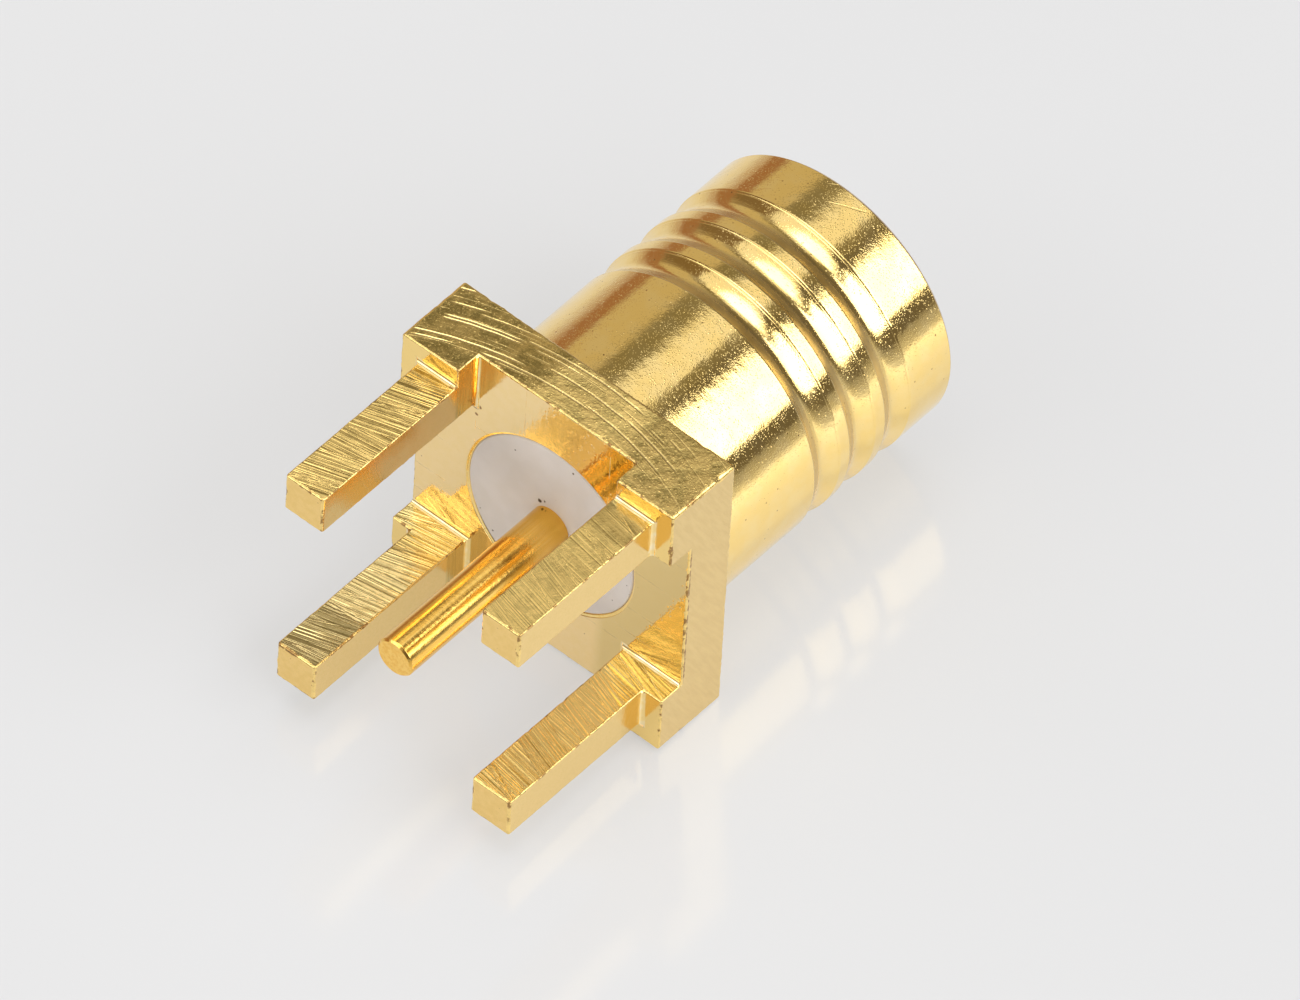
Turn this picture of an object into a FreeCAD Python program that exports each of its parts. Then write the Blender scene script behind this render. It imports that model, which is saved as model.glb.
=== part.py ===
import FreeCAD, Part
import math
import os

import Sketcher

# Coaxial push-on board connector, straight, with four square ground legs.
# All lengths are in millimetres.
#
# Working frame of every piece: the origin is on the barrel's axis at the board
# seat, the undersides of the four feet. Local +Z runs along the barrel to its
# open end and the legs run to -Z. Each piece is then laid on its side, so that
# in the finished frame the barrel points along +Y and +Z is up.

os.makedirs("parts", exist_ok=True)
doc = FreeCAD.newDocument("board_connector")

# ---------------------------------------------------------------- dimensions
SIZES = [
    # square flange with its crossed channel
    ("flange_side", 7.0),
    ("flange_thick", 1.86),
    ("channel_half", 2.04),
    ("channel_deep", 0.59),
    ("edge_round", 0.06),
    ("root_round", 0.075),
    # ground legs
    ("leg_width", 0.98),
    ("leg_long", 3.96),
    ("leg_tip", 0.07),
    # barrel with three grip grooves: straight flanks and a rounded bottom
    ("barrel_dia", 6.28),
    ("rim_at", 9.04),
    ("rim_round", 0.07),
    ("groove_first", 5.255),
    ("groove_pitch", 1.06),
    ("groove_wide", 0.78),
    ("groove_flank_deep", 0.126),
    ("groove_floor_wide", 0.263),
    ("groove_round", 0.3),
    # bores of the barrel
    ("rear_bore_dia", 4.24),
    ("rear_lead", 0.06),
    ("shoulder_at", 2.4),
    ("front_bore_dia", 5.1),
    ("front_lead", 0.22),
    # spring collet, the outer contact
    ("collet_base_end", 4.1),
    ("collet_neck_dia", 4.5),
    ("collet_floor_at", 4.7),
    ("collet_bore_dia", 3.8),
    ("collet_bead_dia", 3.62),
    ("collet_tip_at", 8.5),
    ("collet_bead_wide", 0.36),
    ("collet_slot_from", 4.95),
    ("collet_slot_wide", 0.32),
    ("collet_slots", 6),
    # insulator
    ("insulator_rear", 0.61),
    ("insulator_edge", 0.05),
    ("nose_dia", 2.96),
    ("nose_end", 6.9),
    # centre contact, tail pin and socket in one piece
    ("tail_dia", 0.9),
    ("tail_end", 4.05),
    ("tail_tip", 0.05),
    ("neck_dia", 0.56),
    ("neck_end", 1.6),
    ("socket_dia", 1.0),
    ("socket_end", 7.2),
    ("socket_lead", 0.08),
    ("socket_bore_dia", 0.5),
    ("socket_deep", 1.9),
    ("socket_drill_cone", 0.14),
    ("socket_slot_wide", 0.12),
    ("socket_slot_deep", 1.5),
    ("barb_from", 3.0),
    ("barb_wide", 0.3),
    ("barb_high", 0.07),
]
sheet = doc.addObject("Spreadsheet::Sheet", "Dimensions")
for row, (name, value) in enumerate(SIZES, start=1):
    sheet.set("A%d" % row, name)
    sheet.set("B%d" % row, repr(value))
    sheet.setAlias("B%d" % row, name)
doc.recompute()
SIZE = dict(SIZES)


def both(text):
    """A sum of sheet values such as "0.5*flange_side - edge_round", as an expression and as a number."""
    total, out, sign = 0.0, [], 1.0
    for word in text.split():
        if word in ("+", "-"):
            sign = 1.0 if word == "+" else -1.0
            continue
        factor, name = word.split("*") if "*" in word else ("1", word)
        if name[0].isdigit():
            value, shown = float(name), name
        else:
            value, shown = SIZE[name], "Dimensions." + name
        total += sign * float(factor) * value
        out.append("%s %s * %s" % ("+" if sign > 0 else "-", factor, shown))
        sign = 1.0
    return " ".join(out).lstrip("+ "), total


def plane(body, role):
    for feature in body.Origin.OriginFeatures:
        if feature.Role == role:
            return feature
    raise ValueError(role)


def new_body(label):
    body = doc.addObject("PartDesign::Body", label)
    body.Label = label
    return body


def new_sketch(body, name, role, lift=None):
    sketch = body.newObject("Sketcher::SketchObject", name)
    sketch.AttachmentSupport = (plane(body, role), [""])
    sketch.MapMode = "FlatFace"
    if lift:
        sketch.setExpression(".AttachmentOffset.Base.z", both(lift)[0])
    return sketch


def pin_coordinate(sketch, kind, line, end, text, tag):
    """Holds one coordinate of a line's end, on the axis or at a sheet value."""
    expression, value = both(text)
    if abs(value) < 1e-9:
        axis = -2 if kind == "DistanceX" else -1
        sketch.addConstraint(Sketcher.Constraint("PointOnObject", line, end, axis))
        return
    index = sketch.addConstraint(Sketcher.Constraint(kind, line, end, value))
    name = "%s_%s" % (tag, kind[-1].lower())
    sketch.renameConstraint(index, name)
    sketch.setExpression("Constraints." + name, expression)


def outline(sketch, corners, tag="p"):
    """A closed outline. A corner is (x, y), or (x, y, radius) where an arc that bulges to the left runs on from it."""
    points = [FreeCAD.Vector(both(c[0])[1], both(c[1])[1], 0) for c in corners]
    first = sketch.GeometryCount
    many = len(corners)
    for i in range(many):
        a, b = points[i], points[(i + 1) % many]
        if len(corners[i]) == 3:
            radius = both(corners[i][2])[1]
            half = (b - a).Length / 2
            run = (b - a).normalize()
            left = FreeCAD.Vector(-run.y, run.x, 0)
            sag = radius - math.sqrt(radius * radius - half * half)
            sketch.addGeometry(Part.Arc(a, (a + b) * 0.5 + left * sag, b), False)
        else:
            sketch.addGeometry(Part.LineSegment(a, b), False)

    def ends(i):
        """Sketch point numbers at the start and end of edge i: an arc that runs clockwise is kept reversed."""
        return (1, 2) if (sketch.getPoint(first + i, 1) - points[i]).Length < 1e-6 else (2, 1)

    for i in range(many):
        j = (i + 1) % many
        sketch.addConstraint(
            Sketcher.Constraint("Coincident", first + i, ends(i)[1], first + j, ends(j)[0])
        )
    for i, corner in enumerate(corners):
        pin_coordinate(sketch, "DistanceX", first + i, ends(i)[0], corner[0], "%s%d" % (tag, i))
        pin_coordinate(sketch, "DistanceY", first + i, ends(i)[0], corner[1], "%s%d" % (tag, i))
    for i, corner in enumerate(corners):
        if len(corner) == 3:
            expression, value = both(corner[2])
            index = sketch.addConstraint(Sketcher.Constraint("Radius", first + i, value))
            name = "%s%d_r" % (tag, i)
            sketch.renameConstraint(index, name)
            sketch.setExpression("Constraints." + name, expression)


def rectangle(sketch, x0, y0, x1, y1, tag="q"):
    outline(sketch, [(x0, y0), (x1, y0), (x1, y1), (x0, y1)], tag)


def pad(body, name, sketch, length, backwards=False):
    feature = body.newObject("PartDesign::Pad", name)
    feature.Profile = sketch
    feature.Type = "Length"
    feature.setExpression("Length", both(length)[0])
    feature.Reversed = backwards
    doc.recompute()
    return feature


def cut(body, kind, name, sketch, length=None, backwards=False):
    """A pocket or a groove, which has to take something away."""
    before = body.Shape.Volume
    feature = body.newObject("PartDesign::" + kind, name)
    feature.Profile = sketch
    if kind == "Groove":
        feature.ReferenceAxis = (sketch, ["V_Axis"])
        feature.Angle = 360.0
    else:
        feature.Type = "Length"
        feature.setExpression("Length", both(length)[0])
        feature.Reversed = backwards
    doc.recompute()
    if not body.Shape.Volume < before - 1e-4:
        raise RuntimeError(name + " cuts nothing")
    return feature


def turned(body, name, sketch):
    feature = body.newObject("PartDesign::Revolution", name)
    feature.Profile = sketch
    feature.ReferenceAxis = (sketch, ["V_Axis"])
    feature.Angle = 360.0
    doc.recompute()
    return feature


def round_the_axis(body, name, feature, count):
    pattern = body.newObject("PartDesign::PolarPattern", name)
    pattern.Originals = [feature]
    axis = [f for f in body.Origin.OriginFeatures if f.Role == "Z_Axis"][0]
    pattern.Axis = (axis, [""])
    pattern.Angle = 360.0
    if isinstance(count, str):
        pattern.setExpression("Occurrences", both(count)[0])
    else:
        pattern.Occurrences = count
    body.Tip = pattern
    doc.recompute()
    return pattern


def near(a, b):
    return abs(a - b) < 1e-4


def edges_where(shape, test):
    """Names of the straight edges whose two ends pass the test."""
    names = []
    for number, edge in enumerate(shape.Edges, start=1):
        if edge.Degenerated or len(edge.Vertexes) != 2 or edge.Curve.TypeId != "Part::GeomLine":
            continue
        if test(edge.Vertexes[0].Point, edge.Vertexes[1].Point):
            names.append("Edge%d" % number)
    return names


def ease(body, name, kind, edges, size):
    """A fillet or chamfer on named edges of the body as it stands."""
    if not edges:
        raise RuntimeError(name + " found no edges")
    feature = body.newObject("PartDesign::" + kind, name)
    feature.Base = (body.Tip if body.Tip != feature else feature.BaseFeature, edges)
    feature.setExpression("Radius" if kind == "Fillet" else "Size", both(size)[0])
    doc.recompute()
    return feature


# ------------------------------------------------------------ connector body
# One piece of square bar: the round end is turned, and the channels and the
# gaps between the legs are milled.
shell = new_body("connector_body")

base = new_sketch(shell, "flange_square", "XY_Plane")
rectangle(base, "-0.5*flange_side", "-0.5*flange_side", "0.5*flange_side", "0.5*flange_side")
pad(shell, "flange", base, "flange_thick")

barrel = new_sketch(shell, "barrel_outline", "XZ_Plane")
outer = []
for number in (0, 1, 2):
    # each groove is a flank, a rounded floor and a flank, read from the flange outwards
    middle = "groove_first + %d*groove_pitch" % number
    floor = "0.5*barrel_dia - groove_flank_deep"
    outer.append(("0.5*barrel_dia", middle + " - 0.5*groove_wide"))
    outer.append((floor, middle + " - 0.5*groove_floor_wide", "groove_round"))
    outer.append((floor, middle + " + 0.5*groove_floor_wide"))
    outer.append(("0.5*barrel_dia", middle + " + 0.5*groove_wide"))
outline(
    barrel,
    [("0*flange_side", "0.5*flange_thick"), ("0.5*barrel_dia", "0.5*flange_thick")]
    + outer
    + [
        ("0.5*barrel_dia", "rim_at - rim_round"),
        ("0.5*barrel_dia - rim_round", "rim_at"),
        ("0*flange_side", "rim_at"),
    ],
)
turned(shell, "barrel", barrel)

channel_x = new_sketch(shell, "channel_along_x", "XY_Plane")
rectangle(channel_x, "-1*flange_side", "-1*channel_half", "1*flange_side", "channel_half")
cut(shell, "Pocket", "channel_one", channel_x, "channel_deep", backwards=True)
channel_y = new_sketch(shell, "channel_along_y", "XY_Plane")
rectangle(channel_y, "-1*channel_half", "-1*flange_side", "channel_half", "1*flange_side")
cut(shell, "Pocket", "channel_two", channel_y, "channel_deep", backwards=True)

foot = new_sketch(shell, "leg_square", "XY_Plane")
rectangle(foot, "channel_half", "channel_half", "channel_half + leg_width", "channel_half + leg_width")
leg = pad(shell, "leg", foot, "leg_long", backwards=True)
round_the_axis(shell, "legs", leg, 4)

bores = new_sketch(shell, "bore_outline", "XZ_Plane")
outline(
    bores,
    [
        ("0*flange_side", "0.5*channel_deep"),
        ("0.5*rear_bore_dia + rear_lead", "0.5*channel_deep"),
        ("0.5*rear_bore_dia + rear_lead", "channel_deep"),
        ("0.5*rear_bore_dia", "channel_deep + rear_lead"),
        ("0.5*rear_bore_dia", "shoulder_at"),
        ("0.5*front_bore_dia", "shoulder_at"),
        ("0.5*front_bore_dia", "rim_at - front_lead"),
        ("0.5*front_bore_dia + front_lead", "rim_at"),
        ("0.5*front_bore_dia + front_lead", "rim_at + 0.5*front_lead"),
        ("0*flange_side", "rim_at + 0.5*front_lead"),
    ],
)
cut(shell, "Groove", "bores", bores)

half = SIZE["flange_side"] / 2
inner = SIZE["channel_half"]
out_leg = inner + SIZE["leg_width"]
deep = SIZE["channel_deep"]

def along(a, b, at):
    """True if a straight edge runs across the piece with its x or its y held at plus or minus this value."""
    return (near(abs(a.x), at) and near(a.x, b.x)) or (near(abs(a.y), at) and near(a.y, b.y))


def corner(a, b, at):
    """True if a straight edge runs along the barrel's direction at this corner."""
    return near(a.x, b.x) and near(a.y, b.y) and near(abs(a.x), at) and near(abs(a.y), at)


# leg ends
ease(
    shell,
    "leg_tips",
    "Chamfer",
    edges_where(
        shell.Shape,
        lambda a, b: near(a.z, -SIZE["leg_long"]) and near(b.z, -SIZE["leg_long"]),
    ),
    "leg_tip",
)
# the long edges of the legs that face the pin, broken by the cutter
ease(shell, "leg_edges", "Fillet", edges_where(shell.Shape, lambda a, b: corner(a, b, inner)), "edge_round")
# inner corners: where a channel's floor meets the side of a foot
ease(
    shell,
    "channel_roots",
    "Fillet",
    edges_where(
        shell.Shape, lambda a, b: near(a.z, deep) and near(b.z, deep) and along(a, b, inner)
    ),
    "root_round",
)
# inner corners: where the two outer sides of a leg meet the underside of its foot
ease(
    shell,
    "leg_roots",
    "Fillet",
    edges_where(shell.Shape, lambda a, b: near(a.z, 0) and near(b.z, 0) and along(a, b, out_leg)),
    "root_round",
)
# the four upright corners of the flange and its front outline
ease(
    shell,
    "flange_edges",
    "Fillet",
    edges_where(
        shell.Shape,
        lambda a, b: corner(a, b, half)
        or (near(a.z, SIZE["flange_thick"]) and near(b.z, SIZE["flange_thick"]) and along(a, b, half)),
    ),
    "edge_round",
)

# ------------------------------------------------------------- spring collet
# The slotted outer contact. Its plain base is pressed into the barrel against
# the shoulder, and the sprung fingers grip the mating connector.
collet = new_body("spring_collet")
section = new_sketch(collet, "collet_outline", "XZ_Plane")
outline(
    section,
    [
        ("0.5*nose_dia", "shoulder_at"),
        ("0.5*front_bore_dia", "shoulder_at"),
        ("0.5*front_bore_dia", "collet_base_end"),
        ("0.5*collet_neck_dia", "collet_base_end + 0.25*collet_bead_wide"),
        ("0.5*collet_neck_dia", "collet_tip_at - 0.25*collet_bead_wide"),
        ("0.5*collet_neck_dia - 0.25*collet_bead_wide", "collet_tip_at"),
        ("0.5*collet_bead_dia + 0.4*collet_bead_wide", "collet_tip_at"),
        ("0.5*collet_bead_dia", "collet_tip_at - 0.4*collet_bead_wide"),
        ("0.5*collet_bead_dia", "collet_tip_at - collet_bead_wide"),
        ("0.5*collet_bore_dia", "collet_tip_at - 1.3*collet_bead_wide"),
        ("0.5*collet_bore_dia", "collet_floor_at"),
        ("0.5*nose_dia", "collet_floor_at"),
    ],
)
turned(collet, "collet_turned", section)
slot = new_sketch(collet, "slot_outline", "XY_Plane", lift="collet_slot_from")
rectangle(
    slot,
    "0.25*collet_bore_dia",
    "-0.5*collet_slot_wide",
    "0.6*front_bore_dia",
    "0.5*collet_slot_wide",
)
one_slot = cut(
    collet, "Pocket", "finger_slot", slot, "collet_tip_at - collet_slot_from + collet_slot_wide", backwards=True
)
round_the_axis(collet, "finger_slots", one_slot, "collet_slots")

# ------------------------------------------------------------ centre contact
# One turned pin: the solder tail, a neck and a barb that hold it in the
# insulator, and the slotted socket at the mating end.
contact = new_body("center_contact")
section = new_sketch(contact, "contact_outline", "XZ_Plane")
outline(
    section,
    [
        ("0*flange_side", "-1*tail_end"),
        ("0.5*tail_dia - tail_tip", "-1*tail_end"),
        ("0.5*tail_dia", "-1*tail_end + tail_tip"),
        ("0.5*tail_dia", "insulator_rear"),
        ("0.5*neck_dia", "insulator_rear"),
        ("0.5*neck_dia", "neck_end"),
        ("0.5*socket_dia", "neck_end"),
        ("0.5*socket_dia", "barb_from"),
        ("0.5*socket_dia + barb_high", "barb_from"),
        ("0.5*socket_dia", "barb_from + barb_wide"),
        ("0.5*socket_dia", "socket_end - socket_lead"),
        ("0.5*socket_dia - socket_lead", "socket_end"),
        ("0.5*socket_bore_dia + socket_lead", "socket_end"),
        ("0.5*socket_bore_dia", "socket_end - socket_lead"),
        ("0.5*socket_bore_dia", "socket_end - socket_deep"),
        ("0*flange_side", "socket_end - socket_deep - socket_drill_cone"),
    ],
)
turned(contact, "contact_turned", section)
split = new_sketch(contact, "split_outline", "XY_Plane", lift="socket_end - socket_slot_deep")
rectangle(split, "-1*socket_dia", "-0.5*socket_slot_wide", "1*socket_dia", "0.5*socket_slot_wide")
cut(contact, "Pocket", "socket_split", split, "socket_slot_deep + socket_slot_wide", backwards=True)

# ----------------------------------------------------------------- insulator
# One stepped turning of white fluoropolymer. The wide disc fills the rear bore
# and the nose stands inside the collet. It has closed round the contact's neck
# and barb.
insulator = new_body("insulator")
section = new_sketch(insulator, "insulator_outline", "XZ_Plane")
outline(
    section,
    [
        ("0.5*neck_dia", "insulator_rear"),
        ("0.5*rear_bore_dia - insulator_edge", "insulator_rear"),
        ("0.5*rear_bore_dia", "insulator_rear + insulator_edge"),
        ("0.5*rear_bore_dia", "shoulder_at"),
        ("0.5*nose_dia", "shoulder_at"),
        ("0.5*nose_dia", "nose_end - insulator_edge"),
        ("0.5*nose_dia - insulator_edge", "nose_end"),
        ("0.5*socket_dia", "nose_end"),
        ("0.5*socket_dia", "barb_from + barb_wide"),
        ("0.5*socket_dia + barb_high", "barb_from"),
        ("0.5*socket_dia", "barb_from"),
        ("0.5*socket_dia", "neck_end"),
        ("0.5*neck_dia", "neck_end"),
    ],
)
turned(insulator, "insulator_turned", section)

# -------------------------------------------------------------- laid and kept
pieces = [shell, collet, insulator, contact]
for piece in pieces:
    piece.Placement = FreeCAD.Placement(
        FreeCAD.Vector(0, 0, 0), FreeCAD.Rotation(FreeCAD.Vector(1, 0, 0), -90)
    )
doc.recompute()

for item in doc.Objects:
    if "Invalid" in item.State or "Error" in item.State:
        raise RuntimeError("%s failed: %s" % (item.Label, item.State))
for piece in pieces:
    shape = piece.Shape
    if shape.isNull() or not shape.isValid() or len(shape.Solids) != 1:
        raise RuntimeError(piece.Label + " is not one valid solid")
for piece in pieces:
    piece.Shape.exportStep("parts/%s.step" % piece.Label)
    box = piece.Shape.BoundBox
    print(
        "%s volume %.3f box x %.3f..%.3f y %.3f..%.3f z %.3f..%.3f"
        % (piece.Label, piece.Shape.Volume, box.XMin, box.XMax, box.YMin, box.YMax, box.ZMin, box.ZMax)
    )
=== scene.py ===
import math

import bmesh
import bpy
import numpy as np
from mathutils import Matrix, Vector, noise


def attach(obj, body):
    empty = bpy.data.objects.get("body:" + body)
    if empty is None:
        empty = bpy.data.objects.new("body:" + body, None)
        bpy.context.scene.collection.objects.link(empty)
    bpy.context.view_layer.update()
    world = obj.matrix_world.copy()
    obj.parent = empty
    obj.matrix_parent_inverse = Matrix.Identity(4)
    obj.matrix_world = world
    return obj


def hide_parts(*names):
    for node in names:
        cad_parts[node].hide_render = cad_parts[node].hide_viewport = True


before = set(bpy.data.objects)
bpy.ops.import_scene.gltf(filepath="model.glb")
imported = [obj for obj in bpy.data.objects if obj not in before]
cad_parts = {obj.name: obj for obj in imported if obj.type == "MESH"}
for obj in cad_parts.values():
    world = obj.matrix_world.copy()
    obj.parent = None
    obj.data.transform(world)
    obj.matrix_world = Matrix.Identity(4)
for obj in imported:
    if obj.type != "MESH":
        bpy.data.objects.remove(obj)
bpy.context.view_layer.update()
scene = bpy.context.scene

# Every piece is worked out in millimetres and scaled to metres at the end.
MM = 0.001

# ------------------------------------------------------------------ dimensions
SIDE = 3.5          # half the flange
THICK = 1.86        # flange thickness, from the board seat
INNER = 2.04        # half the channel, and the inner faces of feet and legs
LEG = 3.02          # outer faces of the legs
DEEP = 0.59         # channel depth
TIP = -3.96         # leg ends
BARREL = 3.14
RIM = 9.04
AROUND = 384        # facets of a turned face


# --------------------------------------------------------------- mesh helpers
def mesh_object(name, verts, faces, smooth=True):
    mesh = bpy.data.meshes.new(name)
    mesh.from_pydata([tuple(v) for v in verts], [], faces)
    mesh.validate()
    mesh.polygons.foreach_set("use_smooth", [smooth] * len(mesh.polygons))
    obj = bpy.data.objects.new(name, mesh)
    scene.collection.objects.link(obj)
    return obj


def turned(name, profile, around=AROUND):
    """A closed outline of (radius, y) turned about the Y axis. Points on the axis close it with a fan."""
    rings, verts, faces = [], [], []
    for r, y in profile:
        if r < 1e-6:
            rings.append([len(verts)])
            verts.append((0.0, y, 0.0))
        else:
            start = len(verts)
            rings.append(list(range(start, start + around)))
            for k in range(around):
                t = 2 * math.pi * (k + 0.5) / around
                verts.append((r * math.cos(t), y, r * math.sin(t)))
    many = len(rings)
    for i in range(many):
        a, b = rings[i], rings[(i + 1) % many]
        if len(a) == 1 and len(b) == 1:
            continue
        for k in range(around):
            n = (k + 1) % around
            if len(a) == 1:
                faces.append((a[0], b[n], b[k]))
            elif len(b) == 1:
                faces.append((a[k], a[n], b[0]))
            else:
                faces.append((a[k], a[n], b[n], b[k]))
    obj = mesh_object(name, verts, faces)
    bm = bmesh.new()
    bm.from_mesh(obj.data)
    bmesh.ops.recalc_face_normals(bm, faces=bm.faces[:])
    bm.to_mesh(obj.data)
    bm.free()
    return obj


def rounded(points):
    """A profile whose corners may be eased: (r, y) or (r, y, radius). Returns plain points."""
    out = []
    many = len(points)
    for i, p in enumerate(points):
        if len(p) == 2 or p[2] <= 0:
            out.append((p[0], p[1]))
            continue
        here = Vector(p[:2])
        before = Vector(points[i - 1][:2]) - here
        after = Vector(points[(i + 1) % many][:2]) - here
        half = before.angle(after) / 2
        reach = min(p[2] / math.tan(half), 0.45 * before.length, 0.45 * after.length)
        radius = reach * math.tan(half)
        a, b = here + before.normalized() * reach, here + after.normalized() * reach
        middle = here + (before.normalized() + after.normalized()).normalized() * (radius / math.sin(half))
        steps = 5
        start = math.atan2(a.y - middle.y, a.x - middle.x)
        turn = math.atan2(b.y - middle.y, b.x - middle.x) - start
        while turn > math.pi:
            turn -= 2 * math.pi
        while turn < -math.pi:
            turn += 2 * math.pi
        for k in range(steps + 1):
            t = start + turn * k / steps
            out.append((middle.x + radius * math.cos(t), middle.y + radius * math.sin(t)))
    return out


def settle(obj):
    """Puts the object's evaluated mesh in place of its own and drops the modifiers."""
    bpy.context.view_layer.update()
    graph = bpy.context.evaluated_depsgraph_get()
    fresh = bpy.data.meshes.new_from_object(obj.evaluated_get(graph))
    obj.modifiers.clear()
    old = obj.data
    obj.data = fresh
    bpy.data.meshes.remove(old)
    return obj


def combine(obj, other, how):
    mod = obj.modifiers.new("join", "BOOLEAN")
    mod.operation = how
    mod.solver = "EXACT"
    mod.object = other
    settle(obj)
    bpy.data.objects.remove(other)
    return obj


def shade(obj, degrees=24.0):
    """Sharp edges above an angle, normals weighted by face area, kept as custom normals."""
    mesh = obj.data
    mesh.polygons.foreach_set("use_smooth", [True] * len(mesh.polygons))
    mesh.set_sharp_from_angle(angle=math.radians(degrees))
    mod = obj.modifiers.new("weighted", "WEIGHTED_NORMAL")
    mod.mode = "FACE_AREA"
    mod.weight = 50
    mod.keep_sharp = True
    return settle(obj)


def to_metres(obj, name):
    obj.data.transform(Matrix.Scale(MM, 4))
    obj.name = name
    obj.data.name = name
    return obj


# ------------------------------------------------------- flange, feet and legs
BODY_SLOTS = ["barrel", "flange_top", "flange_side", "channel", "leg_top", "leg_side", "leg_tip", "edge", "root", "bore"]
SLOT = {n: i for i, n in enumerate(BODY_SLOTS)}


def milled_block():
    """The milled part of the body as one block of cells, with its outer skin merged face by face."""
    xs = [-SIDE, -LEG, -INNER, INNER, LEG, SIDE]
    ys = [TIP, 0.0, DEEP, THICK]

    def filled(i, j, k):
        if not (0 <= i < 5 and 0 <= j < 3 and 0 <= k < 5):
            return False
        if j == 2:
            return True
        if j == 1:
            return i != 2 and k != 2
        return i in (1, 3) and k in (1, 3)

    bm = bmesh.new()
    made = {}

    def vert(i, j, k):
        if (i, j, k) not in made:
            made[i, j, k] = bm.verts.new((xs[i], ys[j], xs[k]))
        return made[i, j, k]

    for i in range(5):
        for j in range(3):
            for k in range(5):
                if not filled(i, j, k):
                    continue
                for axis in range(3):
                    for way in (0, 1):
                        step = [0, 0, 0]
                        step[axis] = 1 if way else -1
                        if filled(i + step[0], j + step[1], k + step[2]):
                            continue
                        base = [i, j, k]
                        base[axis] += way
                        u, v = (axis + 1) % 3, (axis + 2) % 3
                        ring = []
                        for du, dv in ((0, 0), (1, 0), (1, 1), (0, 1)):
                            c = list(base)
                            c[u] += du
                            c[v] += dv
                            ring.append(vert(*c))
                        if not way:
                            ring.reverse()
                        bm.faces.new(ring)
    bm.normal_update()
    # merge the faces of each flat region
    left = set(bm.faces)
    regions = []
    while left:
        seed = left.pop()
        region, todo = [seed], [seed]
        while todo:
            f = todo.pop()
            for e in f.edges:
                for g in e.link_faces:
                    if g in left and g.normal.dot(f.normal) > 0.999:
                        left.discard(g)
                        region.append(g)
                        todo.append(g)
        regions.append(region)
    for region in regions:
        if len(region) > 1:
            bmesh.ops.dissolve_faces(bm, faces=region, use_verts=False)
    spare = [
        v
        for v in bm.verts
        if len(v.link_edges) == 2
        and abs((v.link_edges[0].other_vert(v).co - v.co).normalized().dot((v.link_edges[1].other_vert(v).co - v.co).normalized()) + 1) < 1e-4
    ]
    bmesh.ops.dissolve_verts(bm, verts=spare)
    bm.normal_update()
    return bm


def edge_width(a, b, concave):
    """The rounding in mm that each kind of edge gets."""
    low, high = min(a.y, b.y), max(a.y, b.y)
    upright = high - low > 1e-4
    if concave:
        return 0.105
    if not upright and abs(high - TIP) < 1e-4:
        return 0.06
    if not upright and abs(high - THICK) < 1e-4:
        return 0.065
    if upright and abs(abs(a.x) - INNER) < 1e-4 and abs(abs(a.z) - INNER) < 1e-4:
        return 0.038
    if upright and abs(abs(a.x) - SIDE) < 1e-4 and abs(abs(a.z) - SIDE) < 1e-4:
        return 0.08
    if upright:
        return 0.030
    return 0.042


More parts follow.
